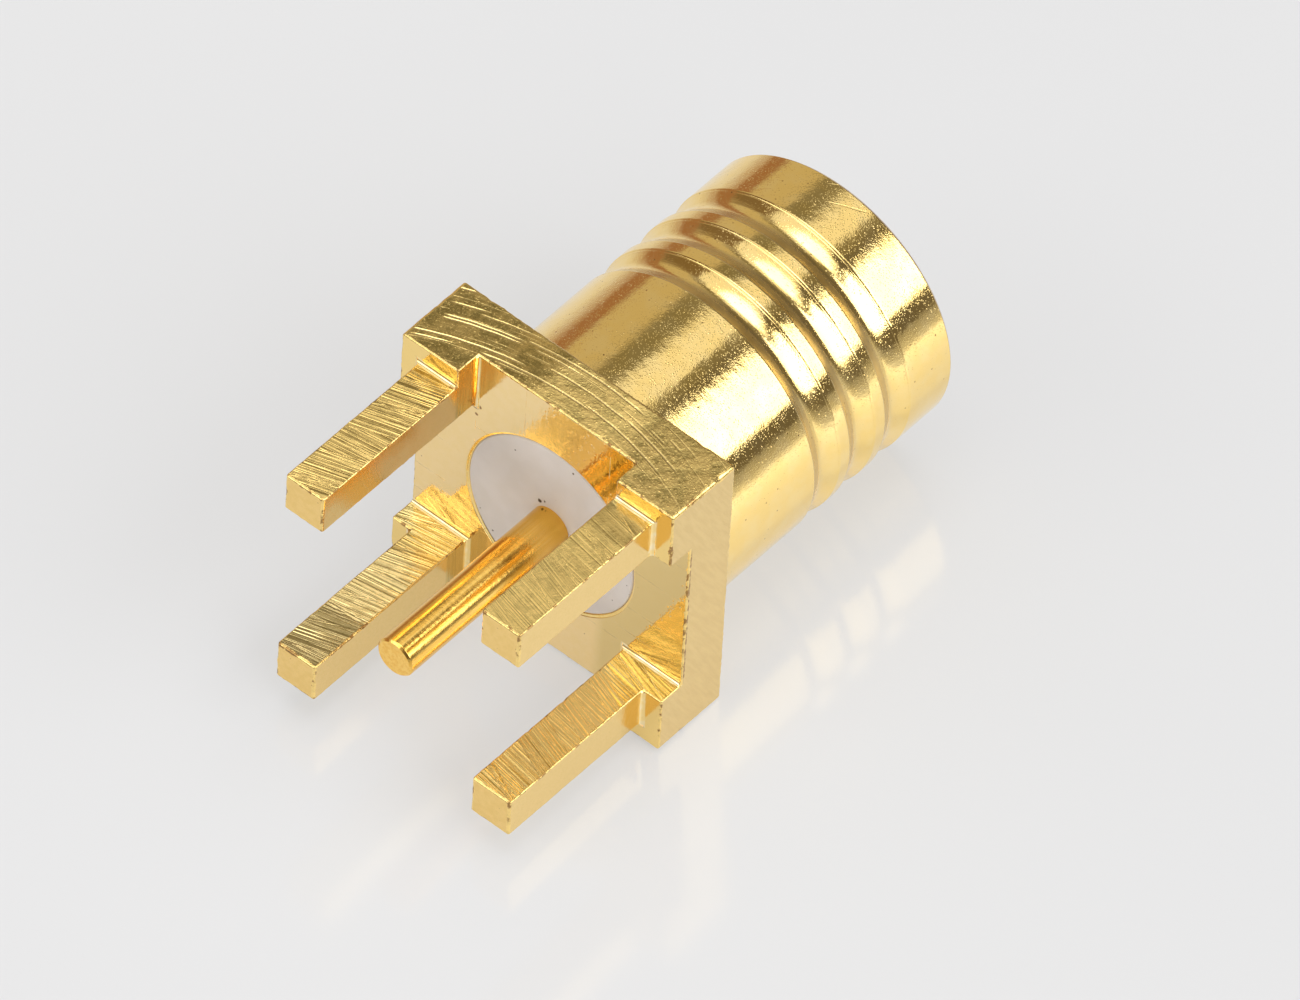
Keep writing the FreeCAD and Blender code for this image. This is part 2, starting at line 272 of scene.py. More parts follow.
def build_block():
    bm = milled_block()
    lines = []
    for e in bm.edges:
        a, b = e.verts[0].co.copy(), e.verts[1].co.copy()
        concave = not e.is_convex
        lines.append((a, b, concave, edge_width(a, b, concave)))
    # each long edge is split first, so that its rounding can vary along it; the
    # end pieces are longer than the widest rounding, or the corners would fold
    for e in list(bm.edges):
        length, done, end = e.calc_length(), 0.0, 0.135
        many = max(1, round((length - 2 * end) / 0.06))
        v = e.verts[0]
        for k in range(many + 1):
            cut = end + (length - 2 * end) * k / many
            e, v = bmesh.utils.edge_split(e, v, (cut - done) / (length - done))
            # the new vertex is one step from the first end; go on along the rest
            e = [x for x in v.link_edges if x is not e][0]
            done = cut
    bm.edges.ensure_lookup_table()
    bm.normal_update()
    weight = bm.edges.layers.float.new("bevel_weight_edge")
    widest = max(w for *_, w in lines)
    starts = np.array([l[0] for l in lines])
    ends = np.array([l[1] for l in lines])
    runs = ends - starts
    lengths = np.linalg.norm(runs, axis=1)
    runs = runs / lengths[:, None]

    def nearest(p):
        p = np.array(p)
        t = np.clip(((p - starts) * runs).sum(1), 0, lengths)
        foot = starts + runs * t[:, None]
        gap = np.linalg.norm(p - foot, axis=1)
        i = int(gap.argmin())
        return i, t[i], foot[i], gap[i]

    for e in bm.edges:
        i, *_ = nearest((e.verts[0].co + e.verts[1].co) / 2)
        e[weight] = lines[i][3] / widest
    # what each flat face is
    for f in bm.faces:
        n, c = f.normal, f.calc_center_median()
        if n.y < -0.9:
            kind = "leg_tip" if c.y < -1 else "channel"
        elif n.y > 0.9:
            kind = "bore"
        else:
            outer = max(abs(c.x) if abs(n.x) > 0.5 else 0, abs(c.z) if abs(n.z) > 0.5 else 0)
            if outer > SIDE - 0.01:
                kind = "flange_top" if abs(n.z) > 0.5 else "flange_side"
            else:
                kind = "leg_top" if abs(n.z) > 0.5 else "leg_side"
        f.material_index = SLOT[kind]
    mesh = bpy.data.meshes.new("block")
    bm.to_mesh(mesh)
    bm.free()
    obj = bpy.data.objects.new("block", mesh)
    scene.collection.objects.link(obj)
    for n in BODY_SLOTS:
        mesh.materials.append(MATERIAL[n])
    mod = obj.modifiers.new("round", "BEVEL")
    mod.limit_method = "WEIGHT"
    mod.width = widest
    mod.segments = 4
    mod.profile = 0.5
    mod.use_clamp_overlap = False
    mod.material = SLOT["edge"]
    settle(obj)

    # the rounding varies along each edge: worn, nicked or left sharp by the cutter
    bm = bmesh.new()
    bm.from_mesh(obj.data)
    bm.normal_update()
    strip = [v for v in bm.verts if any(f.material_index == SLOT["edge"] for f in v.link_faces)]
    for v in strip:
        i, t, foot, gap = nearest(v.co)
        a, b, concave, width = lines[i]
        if gap > 0.132:
            continue
        end = min(t, lengths[i] - t)
        calm = min(1.0, max(0.0, (end - 0.12) / 0.12)) * min(1.0, 0.045 / width)
        p = Vector(foot)
        if concave:
            grow = 1.0 + 0.16 * noise.noise(p * 3.1) * calm
        else:
            slow = noise.noise(p * 2.3 + Vector((7.1, 1.3, 4.2)))
            fast = noise.noise(p * 9.0 + Vector((1.7, 8.3, 2.9)))
            tiny = noise.noise(p * 21.0 + Vector((3.3, 5.9, 0.4)))
            nick = max(0.0, noise.noise(p * 5.0 + Vector((11.0, 2.0, 6.0))) - 0.42) * 3.2
            grow = 1.0 + (0.35 * slow + 0.42 * fast + 0.30 * tiny + nick) * calm
            grow = min(max(grow, 0.35), 2.1)
        foot = Vector(foot)
        v.co = foot + (v.co - foot) * grow
    for f in bm.faces:
        if f.material_index == SLOT["edge"]:
            i, *_ = nearest(f.calc_center_median())
            if lines[i][2]:
                f.material_index = SLOT["root"]
    bm.to_mesh(obj.data)
    bm.free()
    return obj


def barrel_profile():
    """The body's turned outside, from inside the flange to the rim."""
    points = [(0.0, 1.2), (BARREL, 1.2), (BARREL, THICK + 0.02)]
    wide, floor_half = 0.39, 0.137
    # each flank flattens towards the bottom: its slope at the lip and at the bottom
    at_lip, at_floor = 0.62, 0.38
    run = wide - floor_half
    flank = []
    for k in range(10):
        y = 0.012 + (run - 0.012) * k / 9
        flank.append((y, at_lip * y + (at_floor - at_lip) * y * y / (2 * run)))
    # a lip turns from the barrel to a flank within three hundredths
    lip = [(-0.020, 0.0), (-0.009, 0.0006), (0.002, 0.0022)] + flank
    deep = flank[-1][1]
    arc = floor_half / math.sin(math.atan(at_floor))
    lift = math.sqrt(arc * arc - floor_half**2)
    for middle in (5.255, 6.315, 7.375):
        for y, r in lip:
            points.append((BARREL - r, middle - wide + y))
        steps = 14
        for k in range(1, steps):
            y = -floor_half + 2 * floor_half * k / steps
            points.append((BARREL - deep + lift - math.sqrt(arc * arc - y * y), middle + y))
        for y, r in reversed(lip):
            points.append((BARREL - r, middle + wide - y))
    points += rounded([(BARREL, 8.6), (BARREL, RIM - 0.07, 0.03), (BARREL - 0.07, RIM, 0.03), (0.0, RIM)])[1:-1]
    points.append((0.0, RIM))
    return points


def bore_profile():
    front = rounded(
        [
            (0.0, 0.2),
            (2.20, 0.2),
            (2.195, DEEP + 0.008, 0.02),
            (2.12, DEEP + 0.035, 0.04),
            (2.12, 2.4),
            (2.55, 2.4),
            (2.55, RIM - 0.22, 0.06),
            (2.77, RIM),
            (2.77, RIM + 0.3),
            (0.0, RIM + 0.3),
        ]
    )
    return front


def paint_turned(obj, kind):
    for n in BODY_SLOTS:
        obj.data.materials.append(MATERIAL[n])
    obj.data.polygons.foreach_set("material_index", [SLOT[kind]] * len(obj.data.polygons))
    return obj


# -------------------------------------------------------------- node helpers
class Nodes:
    def __init__(self, tree):
        self.tree = tree
        tree.nodes.clear()

    def new(self, kind, **attributes):
        n = self.tree.nodes.new(kind)
        for k, v in attributes.items():
            setattr(n, k, v)
        return n

    def put(self, socket, value):
        if value is None:
            return
        if isinstance(value, bpy.types.NodeSocket):
            self.tree.links.new(value, socket)
        else:
            socket.default_value = value

    def math(self, op, a, b=None, c=None, clamp=False):
        n = self.new("ShaderNodeMath", operation=op, use_clamp=clamp)
        for s, v in zip(n.inputs, (a, b, c)):
            self.put(s, v)
        return n.outputs[0]

    def add(self, a, b):
        return self.math("ADD", a, b)

    def sub(self, a, b):
        return self.math("SUBTRACT", a, b)

    def mul(self, a, b):
        return self.math("MULTIPLY", a, b)

    def vec(self, op, a, b=None, scale=None):
        n = self.new("ShaderNodeVectorMath", operation=op)
        self.put(n.inputs[0], a)
        self.put(n.inputs[1], b)
        if scale is not None:
            self.put(n.inputs["Scale"], scale)
        return n.outputs["Value"] if op in ("LENGTH", "DOT_PRODUCT", "DISTANCE") else n.outputs[0]

    def xyz(self, v):
        n = self.new("ShaderNodeSeparateXYZ")
        self.put(n.inputs[0], v)
        return n.outputs[0], n.outputs[1], n.outputs[2]

    def join(self, x=0.0, y=0.0, z=0.0):
        n = self.new("ShaderNodeCombineXYZ")
        for s, v in zip(n.inputs, (x, y, z)):
            self.put(s, v)
        return n.outputs[0]

    def noise(self, v, scale=1.0, detail=2.0, rough=0.5, bend=0.0):
        n = self.new("ShaderNodeTexNoise", noise_dimensions="3D")
        self.put(n.inputs["Vector"], v)
        self.put(n.inputs["Scale"], scale)
        self.put(n.inputs["Detail"], detail)
        self.put(n.inputs["Roughness"], rough)
        self.put(n.inputs["Distortion"], bend)
        return n.outputs[0]

    def cells(self, v, scale=1.0, feature="F1", random=1.0):
        n = self.new("ShaderNodeTexVoronoi", feature=feature)
        self.put(n.inputs["Vector"], v)
        self.put(n.inputs["Scale"], scale)
        self.put(n.inputs["Randomness"], random)
        return n.outputs["Distance"]

    def span(self, v, a, b, c=0.0, d=1.0, smooth=True):
        n = self.new("ShaderNodeMapRange", interpolation_type="SMOOTHSTEP" if smooth else "LINEAR", clamp=True)
        for s, x in zip(n.inputs, (v, a, b, c, d)):
            self.put(s, x)
        return n.outputs[0]

    def mix(self, f, a, b, how="MIX"):
        n = self.new("ShaderNodeMix", data_type="RGBA", blend_type=how)
        self.put(n.inputs[0], f)
        self.put(n.inputs[6], a)
        self.put(n.inputs[7], b)
        return n.outputs[2]

    def lerp(self, f, a, b):
        n = self.new("ShaderNodeMix", data_type="FLOAT")
        self.put(n.inputs[0], f)
        self.put(n.inputs[2], a)
        self.put(n.inputs[3], b)
        return n.outputs[0]

    def bump(self, height, distance=MM, strength=1.0, normal=None):
        n = self.new("ShaderNodeBump")
        self.put(n.inputs["Strength"], strength)
        self.put(n.inputs["Distance"], distance)
        self.put(n.inputs["Height"], height)
        self.put(n.inputs["Normal"], normal)
        return n.outputs[0]

    def place(self):
        """The point on the piece in millimetres, in the row's frame."""
        t = self.new("ShaderNodeTexCoord")
        return self.vec("SCALE", t.outputs["Object"], scale=1.0 / MM)

    def out(self, **sockets):
        shader = self.new("ShaderNodeBsdfPrincipled")
        for k, v in sockets.items():
            self.put(shader.inputs[k.replace("_", " ")], v)
        o = self.new("ShaderNodeOutputMaterial")
        self.tree.links.new(shader.outputs[0], o.inputs[0])
        return shader


def material(name):
    m = bpy.data.materials.new(name)
    m.use_nodes = True
    return m, Nodes(m.node_tree)


GOLD = (1.0, 0.725, 0.262, 1.0)
GOLD_PALE = (1.0, 0.75, 0.31, 1.0)
GOLD_DULL = (0.86, 0.62, 0.225, 1.0)
GOLD_OLIVE = (0.64, 0.48, 0.17, 1.0)
BROWN = (0.30, 0.15, 0.05, 1.0)
# furrows of the cutter on the flange's upper side: distance from the arcs' centre, from x, to x, strength
ARCS = [
    (8.45, -3.17, -1.56, 1.0),
    (8.37, -3.17, -1.56, 0.9),
    (8.50, -1.53, 1.33, 0.8),
    (8.38, -1.28, -0.17, 0.7),
    (8.20, -1.39, -0.72, 0.4),
    (8.13, -0.72, 1.22, 0.7),
    (7.93, -3.42, -1.17, 1.0),
    (7.79, -3.33, -2.60, 0.9),
    (7.79, -2.00, 0.50, 0.9),
    (7.71, -1.60, -0.90, 0.5),
    (7.84, 0.39, 2.56, 0.7),
    (8.15, 1.22, 2.78, 0.7),
    (8.35, 1.72, 2.17, 0.4),
    (8.51, 2.17, 2.56, 0.4),
    (9.20, -3.50, -3.00, 0.8),
    (8.80, -3.28, -2.56, 0.7),
    (8.60, -3.50, -3.28, 0.7),
    (8.69, -2.67, -1.17, 0.5),
]
# dirt on the insulator's rear face: x, z, size
SPECKS = [
    (-0.31, 0.48, 0.055),
    (-0.19, 0.55, 0.030),
    (0.48, 1.92, 0.022),
    (-1.00, 1.46, 0.020),
    (-1.44, -1.33, 0.022),
    (-1.79, -0.92, 0.018),
    (1.98, -0.25, 0.022),
    (1.64, -0.96, 0.020),
]


def gold(n, height, rough, colour):
    """The shared end of every gold finish."""
    return n.out(
        Base_Color=colour,
        Metallic=1.0,
        Roughness=rough,
        Normal=n.bump(height),
    )


def gold_barrel():
    m, n = material("gold_turned")
    p = n.place()
    x, y, z = n.xyz(p)
    r = n.math("SQRT", n.add(n.mul(x, x), n.mul(z, z)))
    in_groove = n.span(r, 3.00, 3.10, 1.0, 0.0)
    # fine turning lines round the axis, plainer to see inside the grooves
    ring = n.join(n.mul(x, 0.3), n.mul(y, 19.0), n.mul(z, 0.3))
    lines = n.noise(ring, 1.0, 2.0, 0.6)
    scored = None
    for at in (5.605, 6.665, 7.725):
        f = n.span(n.math("ABSOLUTE", n.sub(y, at)), 0.002, 0.013, 1.0, 0.0)
        scored = f if scored is None else n.math("MAXIMUM", scored, f)
    # orange peel, grain and nodules of the plating
    peel = n.noise(p, 5.0, 1.0, 0.5)
    grain = n.noise(p, 22.0, 2.0, 0.7)
    cloud = n.noise(p, 0.9, 2.0, 0.5)
    nodule = n.span(n.cells(p, 14.0), 0.05, 0.24)
    nodule = n.lerp(n.span(n.noise(p, 6.0, 1.0, 0.5), 0.46, 0.56), 1.0, nodule)
    small = n.span(n.cells(n.vec("ADD", p, (5.3, 2.1, 8.8)), 24.0), 0.08, 0.40)
    pit = n.span(n.cells(n.vec("ADD", p, (3.1, 7.7, 1.9)), 3.2), 0.02, 0.09)
    h = n.add(n.mul(lines, n.lerp(in_groove, 0.0005, 0.0020)), n.mul(peel, 0.0026))
    h = n.sub(h, n.mul(scored, 0.0028))
    h = n.add(h, n.mul(grain, n.span(cloud, 0.35, 0.68, 0.0008, 0.0017)))
    h = n.add(h, n.mul(nodule, n.span(cloud, 0.35, 0.60, -0.0018, -0.0032)))
    h = n.add(h, n.mul(small, -0.0010))
    h = n.add(h, n.mul(pit, 0.0016))
    # a few hairline scratches, most of them near the rim
    turn = n.mul(n.math("ARCTAN2", x, z), 3.14)
    along = n.add(n.mul(turn, 0.85), n.mul(y, 0.5))
    over = n.sub(n.mul(y, 0.85), n.mul(turn, 0.5))
    hair = n.span(n.noise(n.join(n.mul(along, 0.7), n.mul(over, 13.0), 4.0), 1.0, 0.0), 0.74, 0.79)
    h = n.sub(h, n.mul(n.mul(hair, n.span(y, 7.6, 8.6, 0.12, 1.0)), 0.0014))
    rough = n.span(cloud, 0.3, 0.75, 0.05, 0.10)
    rough = n.add(rough, n.mul(n.sub(1.0, pit), 0.12))
    rough = n.add(rough, n.mul(in_groove, 0.05))
    colour = n.mix(n.span(n.noise(p, 2.2, 2.0, 0.6), 0.35, 0.7), GOLD, GOLD_PALE)
    # the groove walls that face the rim are made rougher and painted darker
    rim_facing_walls = None
    for middle in (5.255, 6.315, 7.375):
        f = n.mul(n.span(y, middle - 0.405, middle - 0.385), n.span(y, middle - 0.17, middle - 0.09, 1.0, 0.0))
        rim_facing_walls = f if rim_facing_walls is None else n.math("MAXIMUM", rim_facing_walls, f)
    colour = n.mix(n.mul(rim_facing_walls, 0.6), colour, (0.54, 0.45, 0.26, 1.0))
    rough = n.add(rough, n.mul(rim_facing_walls, 0.20))
    colour = n.mix(n.mul(n.sub(1.0, pit), 0.8), colour, BROWN)
    # the rim's edge is stained along its whole turn, unevenly
    stained = n.mul(n.span(y, 8.958, 8.976), n.span(n.noise(p, 2.6, 2.0, 0.6), 0.36, 0.56, 0.45, 0.9))
    colour = n.mix(n.mul(stained, n.span(r, 3.0, 3.06)), colour, (0.42, 0.25, 0.12, 1.0))
    gold(n, h, rough, colour)
    return m


def gold_flange(name, across):
    """Outer sides of the square: satin, with the arc marks of the cutter."""
    m, n = material(name)
    p = n.place()
    x, y, z = n.xyz(p)
    u = x if across == "x" else z
    top = across == "x"
    mottle = n.noise(p, 3.0, 2.0, 0.6)
    grain = n.noise(p, 19.0, 2.0, 0.7)
    # arcs round a far centre below the channel
    dx = n.sub(u, 0.2)
    dy = n.add(y, 6.8)
    d = n.math("SQRT", n.add(n.mul(dx, dx), n.mul(dy, dy)))
    turn = n.math("ARCTAN2", dx, dy)
    h = n.add(n.mul(mottle, 0.008 if top else 0.004), n.mul(grain, 0.0024 if top else 0.0010))
    if top:
        wander = n.mul(n.sub(n.noise(n.join(n.mul(u, 2.0), 0.0, 0.0), 1.0, 1.0), 0.5), 0.03)
        d = n.add(d, wander)
        nodule = n.span(n.cells(p, 14.0), 0.05, 0.32)
        faint = n.span(n.noise(n.join(n.mul(d, 15.0), n.mul(turn, 3.0), 0.5), 1.0, 1.0, 0.6), 0.62, 0.72)
        strokes = n.mul(faint, 0.22)
        for at, x0, x1, deep in ARCS:
            # a narrow furrow that fades at both ends
            f = n.math("ABSOLUTE", n.sub(d, at))
            f = n.span(f, 0.006, 0.032, deep, 0.0)
            ends = n.mul(n.span(u, x0 - 0.10, x0 + 0.15), n.span(u, x1 - 0.30, x1 + 0.10, 1.0, 0.0))
            f = n.mul(f, ends)
            strokes = n.math("MAXIMUM", strokes, f)
        strokes = n.mul(strokes, n.span(grain, 0.25, 0.50, 0.6, 1.0))
        h = n.sub(h, n.mul(strokes, 0.0080))
        h = n.add(h, n.mul(nodule, -0.0020))
        # the right half leans a little towards the legs, so that it shines more
        lean = n.sub(n.span(x, -1.9, -0.5, 0.0, 0.068), n.span(x, 0.7, 1.7, 0.0, 0.022))
        h = n.add(h, n.mul(lean, y))
        rough = n.add(n.span(mottle, 0.3, 0.7, 0.14, 0.21), n.mul(strokes, 0.06))
        colour = n.mix(n.span(mottle, 0.34, 0.64), GOLD_OLIVE, GOLD_DULL)
        colour = n.mix(n.span(grain, 0.48, 0.70), colour, GOLD)
        colour = n.mix(strokes, colour, (1.0, 0.77, 0.34, 1.0))
    else:
        # smooth, with a faint slanting grain
        slant = n.noise(n.join(n.mul(n.add(y, n.mul(z, 0.6)), 9.0), n.mul(n.sub(z, n.mul(y, 0.6)), 1.1), 2.0), 1.0, 2.0, 0.6)
        h = n.add(h, n.mul(slant, 0.0014))
        rough = n.span(mottle, 0.3, 0.7, 0.10, 0.15)
        colour = n.mix(n.span(slant, 0.3, 0.7), (0.80, 0.575, 0.235, 1.0), (0.85, 0.62, 0.265, 1.0))
        # stained line beside the channel's open end
        blot = n.noise(p, 6.0, 2.0, 0.6)
        line = n.span(n.math("ABSOLUTE", n.sub(y, n.add(DEEP + 0.03, n.mul(blot, 0.05)))), 0.006, 0.035, 1.0, 0.0)
        line = n.mul(line, n.span(n.math("ABSOLUTE", z), 1.9, 2.05, 1.0, 0.0))
        line = n.mul(line, n.span(blot, 0.38, 0.55))
        colour = n.mix(n.mul(line, 0.8), colour, BROWN)
        rough = n.add(rough, n.mul(line, 0.15))
    gold(n, h, rough, colour)
    return m


def gold_channel():
    m, n = material("gold_channel")
    p = n.place()
    x, y, z = n.xyz(p)
    peel = n.noise(p, 6.0, 2.0, 0.5)
    strokes = n.noise(n.join(n.mul(x, 14.0), n.mul(y, 4.0), n.mul(z, 0.6)), 1.0, 2.0, 0.6)
    h = n.add(n.mul(peel, 0.0018), n.mul(strokes, 0.0011))
    # faint cutter lines both ways on the floor, and the slanting strokes on the walls
    scores = None
    for value, at, half in ((x, -2.0, 0.010), (x, 1.40, 0.008), (x, -0.77, 0.006), (z, 1.385, 0.009), (z, 0.346, 0.006), (z, -0.81, 0.008), (z, -1.54, 0.007), (z, -1.96, 0.008)):
        f = n.span(n.math("ABSOLUTE", n.sub(value, at)), half * 0.4, half * 1.6, 1.0, 0.0)
        scores = f if scores is None else n.math("MAXIMUM", scores, f)
    floor_only = n.span(n.math("ABSOLUTE", n.sub(y, DEEP)), 0.004, 0.02, 1.0, 0.0)
    scores = n.mul(n.mul(scores, floor_only), n.span(n.noise(p, 1.3, 2.0, 0.6), 0.40, 0.58))
    h = n.sub(h, n.mul(scores, 0.0035))
    walls = n.sub(1.0, floor_only)
    along = n.add(x, z)
    slant = n.noise(n.join(n.mul(n.add(y, n.mul(along, 0.35)), 14.0), n.mul(along, 0.5), 1.0), 1.0, 2.0, 0.65)
    h = n.add(h, n.mul(n.mul(slant, walls), 0.0050))
    dot = n.span(n.cells(p, 2.9), 0.024, 0.050)
    # small cells in the plating, plainer towards the right
    cell = n.span(n.cells(p, 9.0), 0.05, 0.40)
    h = n.add(h, n.mul(n.mul(cell, floor_only), n.span(x, -0.5, 1.0, -0.0005, -0.0018)))
    rough = n.span(n.noise(p, 1.6, 2.0, 0.5), 0.3, 0.7, 0.07, 0.13)
    rough = n.add(rough, n.mul(walls, 0.03))
    colour = n.mix(n.span(peel, 0.3, 0.7), (0.99, 0.735, 0.345, 1.0), (1.0, 0.75, 0.375, 1.0))
    colour = n.mix(walls, colour, GOLD)
    # painted reflection: the floor's right end is painted darker, standing in for the shadowed floor under the legs
    # that it mirrors
    colour = n.mix(n.mul(n.span(x, 1.15, 1.55), n.mul(floor_only, 0.75)), colour, (0.80, 0.60, 0.24, 1.0))
    # stained nicks at the left end of the floor
    for cx, cz, size in ((-2.03, 1.98, 0.10), (-1.93, 2.02, 0.05), (-2.0, 1.75, 0.04)):
        f = n.vec("DISTANCE", n.join(x, 0.0, z), (cx, 0.0, cz))
        f = n.span(n.add(f, n.mul(n.sub(peel, 0.5), 0.10)), size * 0.5, size, 1.0, 0.0)
        colour = n.mix(n.mul(f, 0.9), colour, BROWN)
    colour = n.mix(dot, BROWN, colour)
    gold(n, h, rough, colour)
    return m


def gold_tip():
    """The sawn and rounded ends of the legs."""
    m, n = material("gold_leg_tip")
    p = n.place()
    x, y, z = n.xyz(p)
    peel = n.noise(p, 7.0, 2.0, 0.55)
    saw = n.noise(n.join(n.mul(n.add(x, n.mul(z, 0.3)), 11.0), 0.0, n.mul(z, 1.2)), 1.0, 2.0, 0.6)
    dot = n.span(n.cells(p, 4.2), 0.03, 0.07)
    h = n.add(n.mul(peel, 0.0035), n.mul(saw, 0.0014))
    rough = n.span(peel, 0.3, 0.7, 0.12, 0.19)
    colour = n.mix(n.span(peel, 0.3, 0.7), (0.89, 0.605, 0.20, 1.0), (0.93, 0.64, 0.23, 1.0))
    colour = n.mix(dot, BROWN, colour)
    gold(n, h, rough, colour)
    return m


def gold_leg(name, across, strength):
    """Milled faces of the legs: straight slanting cutter strokes over the whole width."""
    m, n = material(name)
    p = n.place()
    x, y, z = n.xyz(p)
    u = x if across == "x" else z
    outward = n.math("ABSOLUTE", u)
    side = n.mul(n.math("SIGN", u), 7.0)
    level = n.mul(n.math("SIGN", z), 3.0)
    # the cutter's passes meet at slightly different slants
    patch = n.noise(n.join(n.add(n.mul(y, 1.2), n.mul(outward, 0.55)), side, level), 1.0, 0.0)
    slant = n.span(patch, 0.496, 0.504, 0.16, 0.32)
    s = n.add(y, n.mul(outward, slant))
    wide = n.noise(n.join(n.mul(s, 3.6), n.add(n.mul(u, 0.06), side), level), 1.0, 1.0, 0.5)
    coarse = n.noise(n.join(n.mul(s, 11.0), n.add(n.mul(u, 0.05), side), n.add(level, 2.0)), 1.0, 0.0)
    fine = n.noise(n.join(n.mul(s, 23.0), n.add(n.mul(u, 0.08), side), n.add(level, 5.0)), 1.0, 0.0)
    broken = n.noise(n.join(n.mul(s, 6.0), n.add(n.mul(u, 0.8), side), n.add(level, 8.0)), 1.0, 0.0)
    peel = n.noise(p, 17.0, 2.0, 0.65)
    mottle = n.noise(p, 4.5, 2.0, 0.6)
    low = n.span(z, -1.0, -1.5)
    right = n.span(x, -0.5, 0.5)
    # narrow furrows, and the broad ones between them
    line = n.span(n.math("ABSOLUTE", n.sub(coarse, 0.5)), 0.0, 0.060, 1.0, 0.0)
    thin = n.span(n.math("ABSOLUTE", n.sub(fine, 0.5)), 0.0, 0.055, 1.0, 0.0)
    furrow = n.span(coarse, 0.32, 0.66, smooth=False)
    # the first stretch by the foot is smooth on the upper legs, the lower legs are cut deeper
    upper = n.mul(n.span(y, -0.28, -0.50, 0.15, 0.85), n.lerp(right, 1.0, 0.38))
    cuts = n.lerp(low, upper, n.span(y, -0.8, -2.6, 0.8, 1.5))
    broad = n.mul(cuts, n.lerp(low, 0.45, 0.80))
    h = n.add(n.mul(n.mul(furrow, broad), 0.0048 * strength), n.mul(n.mul(fine, broad), 0.0026 * strength))
    h = n.sub(h, n.mul(n.mul(n.mul(line, cuts), n.span(broken, 0.34, 0.56)), 0.0034 * strength))
    h = n.sub(h, n.mul(n.mul(n.mul(thin, cuts), n.span(broken, 0.62, 0.42)), 0.0020 * strength))
    h = n.add(h, n.mul(n.mul(wide, broad), 0.014 * strength))
    h = n.add(h, n.mul(peel, 0.0008))
    rough = n.span(n.noise(p, 3.0, 1.0, 0.5), 0.3, 0.7, 0.10, 0.17)
    rough = n.add(rough, n.mul(n.span(fine, 0.45, 0.6), 0.06 * strength))
    if across == "x":
        # the faces lean a little towards the tips; the lower right one leans the other way
        def slope(near, middle, tip, at):
            """A height whose slope along y takes three values, from the foot to the tip."""
            a = n.mul(n.math("MAXIMUM", n.sub(-0.9, y), 0.0), near - middle)
            b = n.mul(n.math("MAXIMUM", n.sub(at, y), 0.0), middle - tip)
            return n.add(n.mul(y, near), n.add(a, b))

        above = n.lerp(right, slope(0.028, 0.042, 0.049, -2.8), slope(0.044, 0.059, 0.063, -2.8))
        below = n.lerp(right, slope(0.050, 0.072, 0.014, -2.45), slope(-0.034, -0.045, -0.045, -2.8))
        h = n.add(h, n.lerp(low, above, below))
        # by the feet the strokes are finer
        h = n.sub(h, n.mul(n.mul(thin, n.span(y, -0.25, 0.0)), 0.0016))
        # one deep double stroke across the left lower leg
        t = n.sub(n.add(y, n.mul(outward, 0.10)), -2.5 + 0.10 * 2.5)
        for at, half in ((0.0, 0.026), (0.075, 0.018)):
            f = n.span(n.math("ABSOLUTE", n.sub(t, at)), half * 0.3, half * 1.6, 1.0, 0.0)
            h = n.sub(h, n.mul(n.mul(f, n.mul(low, n.sub(1.0, right))), 0.011))
        colour = n.mix(n.mul(n.span(coarse, 0.56, 0.36), 0.4 * strength), GOLD, GOLD_DULL)
        colour = n.mix(n.span(y, -0.35, -0.05), colour, (1.0, 0.80, 0.34, 1.0))
        # the left lower leg is paler, and duller towards its tip
        left = n.mul(low, n.sub(1.0, right))
        colour = n.mix(n.mul(left, n.span(y, -0.3, -0.8, 0.0, 0.6)), colour, (1.0, 0.81, 0.41, 1.0))
        colour = n.mix(n.mul(left, n.span(y, -2.25, -2.6, 0.0, 0.60)), colour, (0.60, 0.47, 0.22, 1.0))
        colour = n.mix(n.mul(n.span(mottle, 0.48, 0.62), n.mul(n.lerp(low, 0.45, 0.2), n.span(y, 0.0, -0.3))), colour, GOLD_OLIVE)
        colour = n.mix(n.mul(n.span(peel, 0.58, 0.68), 0.3), colour, GOLD_OLIVE)
    else:
        # the feet's inner walls are darker, with fine upright strokes
        foot = n.span(y, -0.06, 0.04)
        comb = n.noise(n.join(n.mul(y, 26.0), n.mul(z, 0.7), side), 1.0, 2.0, 0.6)
        h = n.add(h, n.mul(n.mul(comb, foot), 0.0050))
        rough = n.add(rough, n.mul(foot, 0.07))
        colour = n.mix(n.span(peel, 0.3, 0.7), (0.89, 0.635, 0.23, 1.0), (0.92, 0.66, 0.26, 1.0))
        colour = n.mix(n.mul(foot, n.span(comb, 0.35, 0.6, 1.0, 0.65)), colour, (0.62, 0.46, 0.15, 1.0))
    gold(n, h, rough, colour)
    return m


def gold_edge():
    m, n = material("gold_worn_edge")
    p = n.place()
    x, y, z = n.xyz(p)
    h = n.add(n.mul(n.noise(p, 14.0, 2.0, 0.6), 0.006), n.mul(n.noise(p, 40.0, 1.0, 0.6), 0.0016))
    rough = n.span(n.noise(p, 9.0, 2.0, 0.5), 0.35, 0.7, 0.12, 0.26)
    colour = n.mix(n.span(n.noise(p, 6.0, 2.0, 0.5), 0.4, 0.7), GOLD, GOLD_DULL)
    # brown stains, mostly along the feet and the channel's open ends
    near_feet = n.span(y, 1.0, 0.7)
    stain = n.noise(n.vec("ADD", p, (4.0, 1.0, 9.0)), 4.5, 3.0, 0.65)
    stain = n.mul(n.span(stain, 0.52, 0.62), n.lerp(near_feet, 0.25, 0.85))
    colour = n.mix(stain, colour, BROWN)
    gold(n, h, n.add(rough, n.mul(stain, 0.12)), colour)
    return m


